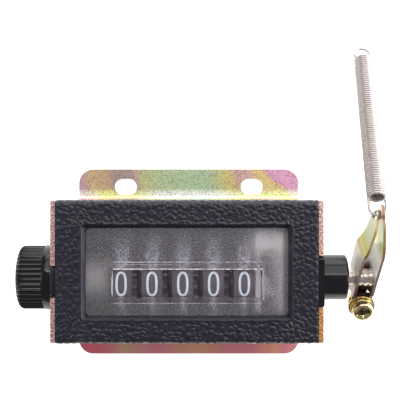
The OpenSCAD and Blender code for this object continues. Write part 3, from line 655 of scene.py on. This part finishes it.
# The strokes of each numeral in a box one wide and one high: (smooth, closed, points)
OVAL = [(0, 0.5), (0.34, 0.42), (0.5, 0.2), (0.5, -0.2), (0.34, -0.42), (0, -0.5),
        (-0.34, -0.42), (-0.5, -0.2), (-0.5, 0.2), (-0.34, 0.42)]
NUMERALS = [
    [(True, True, OVAL)],
    [(False, False, [(-0.3, 0.28), (0.08, 0.5), (0.08, -0.5)])],
    [(True, False, [(-0.5, 0.22), (-0.34, 0.43), (0.02, 0.5), (0.4, 0.4), (0.47, 0.17),
                    (0.2, -0.1), (-0.24, -0.32), (-0.5, -0.5)]),
     (False, False, [(-0.5, -0.5), (0.5, -0.5)])],
    [(True, False, [(-0.48, 0.34), (-0.2, 0.49), (0.18, 0.48), (0.44, 0.3), (0.34, 0.1),
                    (-0.08, 0.03)]),
     (True, False, [(-0.08, 0.03), (0.36, -0.04), (0.5, -0.25), (0.3, -0.46), (-0.08, -0.5),
                    (-0.4, -0.42), (-0.5, -0.26)])],
    [(False, False, [(0.22, -0.5), (0.22, 0.5), (-0.5, -0.22), (0.5, -0.22)])],
    [(False, False, [(0.42, 0.5), (-0.36, 0.5), (-0.42, 0.06)]),
     (True, False, [(-0.42, 0.06), (-0.06, 0.14), (0.32, 0.05), (0.49, -0.17), (0.36, -0.41),
                    (0, -0.5), (-0.36, -0.44), (-0.5, -0.29)])],
    [(True, False, [(0.42, 0.34), (0.2, 0.49), (-0.18, 0.47), (-0.42, 0.25), (-0.5, -0.15)]),
     (True, True, [(x, 0.62 * y - 0.19) for x, y in OVAL])],
    [(False, False, [(-0.5, 0.5), (0.5, 0.5), (-0.12, -0.5)])],
    [(True, True, [(0.86 * x, 0.48 * y + 0.26) for x, y in OVAL]),
     (True, True, [(x, 0.52 * y - 0.24) for x, y in OVAL])],
    [(True, False, [(-0.42, -0.34), (-0.2, -0.49), (0.18, -0.47), (0.42, -0.25), (0.5, 0.15)]),
     (True, True, [(x, 0.62 * y + 0.19) for x, y in OVAL])],
]


def smooth_line(points, closed, steps=5):
    """Catmull-Rom points through the given ones."""
    count = len(points)
    out = []
    for i in range(count if closed else count - 1):
        def pick(k):
            return points[k % count] if closed else points[min(max(k, 0), count - 1)]
        a, b, c, d = (Vector(pick(i + k)) for k in (-1, 0, 1, 2))
        for s in range(steps):
            t = s / steps
            out.append(0.5 * (2 * b + (c - a) * t + (2 * a - 5 * b + 4 * c - d) * t * t
                              + (3 * b - a - 3 * c + d) * t ** 3))
    return out if closed else out + [Vector(points[-1])]


def stroke(bm, line, closed, half, onto):
    """A flat ribbon along a line, raised a little, laid through onto(point, height)."""
    count = len(line)
    rows = []
    for i, point in enumerate(line):
        before = line[i - 1] if (closed or i) else point
        after = line[(i + 1) % count] if (closed or i < count - 1) else point
        first = (point - before if point != before else after - point).normalized()
        last = (after - point).normalized() if after != point else first
        side = Vector((-(first + last).y, (first + last).x)).normalized()
        reach = half / max(0.35, side.dot(Vector((-first.y, first.x))))
        rows.append([bm.verts.new(onto(point + side * s * reach, h))
                     for s, h in ((-1, -0.05), (-1, 0.02), (-0.86, 0.04), (0.86, 0.04),
                                  (1, 0.02), (1, -0.05))])
    pairs = list(zip(rows, rows[1:])) + ([(rows[-1], rows[0])] if closed else [])
    for first, second in pairs:
        for k in range(5):
            bm.faces.new((first[k], first[k + 1], second[k + 1], second[k]))


def numerals(wheel):
    """The ten numerals round a wheel's rim, with the 0 in front."""
    shaft = joint_place(wheel + "_turn")
    low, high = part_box(wheel + "_wheel")
    rim_r = (high.z - low.z) / 2
    middle = rim_middle(wheel)
    width, height, half = 2.16, 5.6, 0.29

    bm = bmesh.new()
    for digit, strokes in enumerate(NUMERALS):
        centre_turn = math.pi / 2 + math.radians(4) + digit * TAU / len(NUMERALS)

        def onto(point, lift):
            turn = centre_turn - point.y * MM / rim_r
            r = rim_r + lift * MM
            return Vector((middle + point.x * MM, shaft.y + r * math.cos(turn),
                           shaft.z + r * math.sin(turn)))

        for smooth, closed, points in strokes:
            line = smooth_line(points, closed) if smooth else [Vector(p) for p in points]
            line = [Vector((p.x * width, p.y * height)) for p in line]
            if not smooth:
                fine = []
                for a, b in zip(line, line[1:]):
                    parts = max(1, round((b - a).length / 0.6))
                    fine += [a.lerp(b, k / parts) for k in range(parts)]
                line = fine + [line[-1]]
            stroke(bm, line, closed, half, onto)
    piece_from(bm, wheel + "_numerals", ["numeral_ink_and_glow"], wheel + "_wheel",
               40)


def rim_middle(wheel):
    """The middle of a wheel's rim, which is where its outermost vertices are."""
    low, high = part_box(wheel + "_wheel")
    shaft = joint_place(wheel + "_turn")
    xs = [v.co.x for v in frame["nodes"][wheel + "_wheel"].data.vertices
          if math.hypot(v.co.y - shaft.y, v.co.z - shaft.z) > (high.z - low.z) / 2 - 0.1 * MM]
    return (min(xs) + max(xs)) / 2


def knob():
    """Fluted grip with a rounded end and a smooth skirt."""
    low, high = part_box("reset_knob")
    shaft = joint_place("reset_turn")
    skirt_r = (high.z - low.z) / 2
    grip_r = skirt_r - 0.25 * MM
    edge = 1.3 * MM
    flutes, per = 40, 8
    end, back = low.x, high.x
    shoulder = back - 2.7 * MM
    # along the axis, radius, and how deep the flutes are there
    profile = [(end + 0.35 * MM, 1.2 * MM, 0), (end + 0.35 * MM, 4.6 * MM, 0),
               (end + 0.12 * MM, 5.2 * MM, 0), (end, 5.9 * MM, 0)]
    profile += [(end + edge * (1 - math.cos(a)), grip_r - edge * (1 - math.sin(a)), math.sin(a))
                for a in (math.pi / 2 * k / 6 for k in range(7))]
    profile += [(shoulder - 0.25 * MM, grip_r, 1),
                (shoulder - 0.02 * MM, grip_r - 0.1 * MM, 0.6),
                (shoulder, grip_r - 0.42 * MM, 0), (shoulder, skirt_r - 0.4 * MM, 0),
                (shoulder + 0.12 * MM, skirt_r - 0.1 * MM, 0),
                (shoulder + 0.4 * MM, skirt_r, 0), (back - 0.4 * MM, skirt_r, 0),
                (back - 0.1 * MM, skirt_r - 0.1 * MM, 0),
                (back, skirt_r - 0.4 * MM, 0), (back, 1.8 * MM, 0)]
    bm = bmesh.new()
    rings = []
    for x, r, depth in profile:
        ring = []
        for k in range(flutes * per):
            phase = (k % per) / per
            dip = 0.36 * MM * depth * (0.5 - 0.5 * math.cos(TAU * phase)) ** 0.8
            a = TAU * k / (flutes * per)
            ring.append(bm.verts.new((x, shaft.y + (r - dip) * math.cos(a),
                                      shaft.z + (r - dip) * math.sin(a))))
        rings.append(ring)
    for first, second in zip(rings, rings[1:]):
        for k in range(len(first)):
            j = (k + 1) % len(first)
            bm.faces.new((first[k], first[j], second[j], second[k]))
    bm.faces.new(rings[0])
    piece = piece_from(bm, "knob_grip", ["black_plastic"], body_of("reset_knob"),
                       40)
    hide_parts("reset_knob")


def leather(p):
    """Height of the moulded leather grain at a point, from 0 in a crease to 1 on a pebble."""
    q = Vector(p) / (1.25 * MM)
    q += 0.45 * noise.noise_vector(q * 0.9)
    near = noise.voronoi(q)[0]
    edge = min(1.0, (near[1] - near[0]) / 0.38)
    edge = edge * edge * (3 - 2 * edge)
    return 0.8 * edge + 0.2 * (0.5 + 0.5 * noise.noise(q * 2.7))


def cover_shell():
    """The grained face and long walls of the cover, laid over the moulding's inside."""
    low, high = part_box("front_cover")
    window_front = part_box("window_lens")[1].z
    sunk = 0.2 * MM
    proud = 0.28 * MM                        # so that the grain's middle height is the CAD wall
    round_r = 1.4 * MM
    depth = 0.25 * MM
    flat_y = high.y + proud - round_r

    # the moulding, set back under the shell
    bm = bmesh.new()
    bm.from_mesh(frame["nodes"]["front_cover"].data)
    bmesh.ops.remove_doubles(bm, verts=bm.verts, dist=0.0008 * MM)
    for vert in bm.verts:
        if abs(vert.co.y) > high.y - round_r + 0.01 * MM:
            vert.co.y -= math.copysign(sunk, vert.co.y)
        if vert.co.z > high.z - round_r - 0.01 * MM and vert.co.z > window_front - 0.75 * MM:
            vert.co.z -= sunk
    moulding = piece_from(bm, "cover_moulding", ["cover_plastic"], body_of("front_cover"))
    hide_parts("front_cover")

    half_w, half_h, corner = WINDOW_W / 2 * MM, WINDOW_H / 2 * MM, 1 * MM

    def on_window(x, y):
        """The nearest point of the window's rounded outline, and the way out from it."""
        cx = min(max(x, corner - half_w), half_w - corner)
        cy = min(max(y, corner - half_h), half_h - corner)
        away = Vector((x - cx, y - cy)).normalized()
        return Vector((cx, cy)) + away * corner, away

    # the face: rows from the window's bevel out to points all round the cover's edge
    bm = bmesh.new()
    outer = []
    step = 0.26 * MM
    nx, ny = round((high.x - low.x) / step), round(2 * flat_y / step)
    for k in range(nx):
        outer.append((low.x + (high.x - low.x) * k / nx, -flat_y))
    for k in range(ny):
        outer.append((high.x, -flat_y + 2 * flat_y * k / ny))
    for k in range(nx):
        outer.append((high.x - (high.x - low.x) * k / nx, flat_y))
    for k in range(ny):
        outer.append((low.x, flat_y - 2 * flat_y * k / ny))
    layers = 24
    lip = 0.22 * MM
    rows = []
    for x, y in outer:
        rim, away = on_window(x, y)
        inner = Vector((*(rim - away * WINDOW_BEVEL * MM), high.z - 1.36 * MM))
        row = [bm.verts.new(inner)]
        for out, drop in ((-0.06, 0.12), (0.03, 0.03)):
            at = rim + away * (out * MM)
            row.append(bm.verts.new((at.x, at.y, high.z - drop * MM)))
        start = rim + away * lip
        for j in range(layers + 1):
            p = start.lerp(Vector((x, y)), j / layers)
            side = min(1.0, (high.x - abs(p.x)) / (0.4 * MM))
            fade = min(1.0, (p - rim).length / (0.6 * MM))
            drop = depth * (1 - leather((p.x, p.y, high.z))) * fade
            drop += 0.5 * MM * (1 - side) ** 2
            row.append(bm.verts.new((p.x, p.y, high.z - drop)))
        rows.append(row)
    for i, first in enumerate(rows):
        second = rows[(i + 1) % len(rows)]
        for k in range(len(first) - 1):
            bm.faces.new((first[k], first[k + 1], second[k + 1], second[k]))

    # the two long walls: columns along X at stations down round the edge and the wall
    columns = 216
    arc = round_r * math.pi / 2
    wall = high.z - round_r - low.z
    stations = [arc * k / 8 for k in range(9)] + [arc + wall * k / 78 for k in range(1, 79)]
    for side in (-1, 1):
        last = None
        for s in stations:
            a = min(s / round_r, math.pi / 2)
            normal = Vector((0, side * math.sin(a), math.cos(a)))
            base = Vector((0, side * flat_y, high.z - round_r)) + normal * round_r
            base.z -= max(0.0, s - arc)
            row = []
            for k in range(columns):
                x = low.x + (high.x - low.x) * k / (columns - 1)
                p = Vector((x, base.y, base.z))
                dip = depth * (1 - leather(p)) + (0.1 * MM if k in (0, columns - 1) else 0)
                row.append(bm.verts.new(p - normal * dip))
            if last:
                for k in range(columns - 1):
                    quad = (last[k], last[k + 1], row[k + 1], row[k])
                    bm.faces.new(quad if side > 0 else quad[::-1])
            last = row
    piece_from(bm, "cover_shell", ["cover_plastic"], body_of("front_cover"),
               50, turn_faces=False)


def bearing_lug():
    """The left bearing block's key, which fills its plate's notch in front of the shaft."""
    shaft = joint_place("reset_turn")
    low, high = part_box("mounting_frame")
    half, corner = 3.6 * MM, 0.7 * MM
    back, front = shaft.z + 1.95 * MM, high.z - 0.35 * MM
    outline = [(-half, back), (-half, front - corner)]
    outline += [(-half + corner * (1 - math.cos(a)), front - corner * (1 - math.sin(a)))
                for a in (math.pi / 2 * k / 5 for k in range(1, 6))]
    outline += [(-y, z) for y, z in reversed(outline)]
    bm = bmesh.new()
    face = bm.faces.new([bm.verts.new((low.x - 0.15 * MM, shaft.y + y, z)) for y, z in outline])
    grown = bmesh.ops.extrude_face_region(bm, geom=[face])["geom"]
    for vert in (v for v in grown if isinstance(v, bmesh.types.BMVert)):
        vert.co.x += 1.3 * MM
    bmesh.ops.bevel(bm, geom=[e for e in bm.edges if e.calc_face_angle(0.0) > 1.0],
                    offset=0.18 * MM, segments=2, profile=0.5, affect="EDGES",
                    clamp_overlap=True)
    piece_from(bm, "bearing_lug", ["cover_plastic"], body_of("left_bearing_block"))


def frame_sheet():
    """The frame, with its plates' front edges and its tabs' rims in their own finishes."""
    plate_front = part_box("mounting_frame")[1].z

    def pick(face):
        middle = face.calc_center_median()
        if face.normal.z > 0.5 and middle.z > plate_front - 0.3 * MM:
            return 1
        return 2 if abs(face.normal.z) < 0.6 and 0 < middle.z < 1.3 * MM else 0

    softened("mounting_frame", 0.2, "frame_sheet", ["zinc_sheet", "sheet_edge", "tab_rim"],
             pick)


def window_pane():
    """The pane, frosted but for its raised lens, and thin ridges along the lens's slopes that
    carry painted highlight lines.
    """
    low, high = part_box("window_lens")
    raised = high.z - 0.8 * MM
    lens = [v.co for v in frame["nodes"]["window_lens"].data.vertices
            if v.co.z > high.z - 0.01 * MM]
    left, right = min(v.x for v in lens), max(v.x for v in lens)
    bottom, top = min(v.y for v in lens), max(v.y for v in lens)
    slope = 1.1 * MM

    def reshape(bm):
        for vert in bm.verts:
            if vert.co.z > high.z - 0.01 * MM and vert.co.y < bottom + 0.01 * MM:
                vert.co.y += slope

    def pick(face):
        middle = face.calc_center_median()
        if middle.z < low.z + 0.1 * MM:
            return 1
        if middle.z < raised + 0.02 * MM:
            return 0
        return 0 if abs(face.normal.y) > 0.2 or face.normal.x > 0.2 else 1

    softened("window_lens", 0.06, "window_pane", ["frosted_pane", "clear_lens"], pick, reshape)

    bottom += slope
    bm = bmesh.new()
    # thin ridges that carry the painted highlight lines along the lens's edges
    lines = [(top + 0.06 * MM, 0.15, 0.16), (top + 1.15 * MM, 0.56, 0.05),
             (top + 1.75 * MM, 0.78, 0.07), (bottom - 1.52 * MM, 0.78, 0.05)]
    for y, sunk, r in lines:
        tube_along(bm, [Vector((left + (right - left) * k / 40, y, high.z - sunk * MM))
                        for k in range(41)], r * MM, 8)
    for x in (left - 0.1 * MM, right + 0.1 * MM):
        tube_along(bm, [Vector((x, bottom + (top - bottom) * k / 10, high.z - 0.14 * MM))
                        for k in range(11)], 0.03 * MM, 8)
    piece_from(bm, "lens_highlight_ridges", ["painted_highlight_ridge"], body_of("window_lens"), 60)


def lever_sheet():
    """The lever, with its sheared edges in their own finish and its web drawn further down to
    carry the painted shade between its ears.
    """
    def pick(face):
        breadth = face.calc_area() / max(edge.calc_length() for edge in face.edges)
        return 1 if 0.15 * MM < breadth < 0.85 * MM else 0

    shaft = joint_place("lever_swing")
    lean = math.radians(LEVER_LEAN)
    up = Vector((0, math.cos(lean), math.sin(lean)))
    forward = Vector((0, -math.sin(lean), math.cos(lean)))

    def reshape(bm):
        for vert in bm.verts:
            place = vert.co - shaft
            if place.dot(up) < -4.2 * MM and place.dot(forward) < -3.6 * MM:
                vert.co += up * -3 * MM

    softened("lever_arm", 0.14, "lever_sheet", ["lever_zinc", "lever_edge"], pick, reshape)


def simple_finishes():
    """The plain pieces, each with its edges rounded by so many millimetres."""
    soft = {
        "left_bearing_block": 0.2, "right_bearing_block": 0.22, "ratchet_bracket": 0.1,
        "wheel_spacer": 0.15, "reset_shaft": 0.1, "drive_shaft": 0.1, "clamp_screw": 0.08,
        "spring_washer": 0.07, "flat_washer": 0.07, "clamp_nut": 0.12, "cover_screws": 0.1,
        "bracket_rivets": 0.15,
    }
    for node, width in soft.items():
        softened(node, width)
    for wheel in WHEELS:
        softened(wheel + "_wheel", 0.12)
        numerals(wheel)


def paint_the_rest():
    for node, obj in frame["nodes"].items():
        obj.data.materials.clear()
        obj.data.materials.append(MATERIALS[slot_of(node)])


# ---------------------------------------------------------------- stage

def stage():
    scene = bpy.context.scene
    world = bpy.data.worlds.new("world")
    scene.world = world
    world.use_nodes = True
    background = world.node_tree.nodes["Background"]
    background.inputs["Color"].default_value = (1, 1, 1, 1)
    background.inputs["Strength"].default_value = 0.28

    bm = bmesh.new()
    bmesh.ops.create_grid(bm, x_segments=2, y_segments=2, size=1.5)
    mesh = bpy.data.meshes.new("floor")
    bm.to_mesh(mesh)
    bm.free()
    floor = bpy.data.objects.new("floor", mesh)
    scene.collection.objects.link(floor)
    floor.location.z = cad_low.z - 0.02 * MM
    white = Finish("floor_white", (0.9, 0.9, 0.9), roughness=0.9)
    white.set("Emission Color", (1, 1, 1, 1))
    white.set("Emission Strength", 0.8)
    mesh.materials.append(white.material)

    def area(name, where, aim, size, power):
        data = bpy.data.lights.new(name, "AREA")
        data.shape = "RECTANGLE"
        data.size, data.size_y = size
        data.energy = power
        lamp = bpy.data.objects.new(name, data)
        lamp.location = where
        lamp.rotation_euler = (Vector(aim) - Vector(where)).to_track_quat("-Z", "Y").to_euler()
        scene.collection.objects.link(lamp)

    area("ceiling", (0.15, 0.62, 0.70), (0.0, 0, 0.02), (1.0, 0.7), 4.3)
    area("right", (0.66, 0.20, 0.28), (0.0, 0, 0.02), (0.9, 0.6), 9)
    area("top", (0.10, 0.80, 0.15), (0, 0, 0.02), (0.8, 0.3), 2)
    area("left", (-0.55, 0.05, 0.35), (0, 0, 0.02), (0.3, 0.4), 1.2)
    area("strip", (0.03, 0.107, 0.30), (0, 0, 0.02), (0.3, 0.01), 0.12)

    camera_data = bpy.data.cameras.new("camera")
    camera_data.lens = 75
    camera_data.sensor_width = 36
    camera_data.clip_start = 0.01
    camera = bpy.data.objects.new("camera", camera_data)
    plate_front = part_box("mounting_frame")[1].z
    camera.location = (CAMERA_X * MM, CAMERA_Y * MM, plate_front + CAMERA_OFF_PLATES * MM)
    scene.collection.objects.link(camera)
    scene.camera = camera
    scene.view_settings.view_transform = "Standard"


paint_the_rest()
frame_sheet()
window_pane()
cover_shell()
bearing_lug()
lever_sheet()
knob()
actuating_spring()
return_spring()
simple_finishes()
stage()
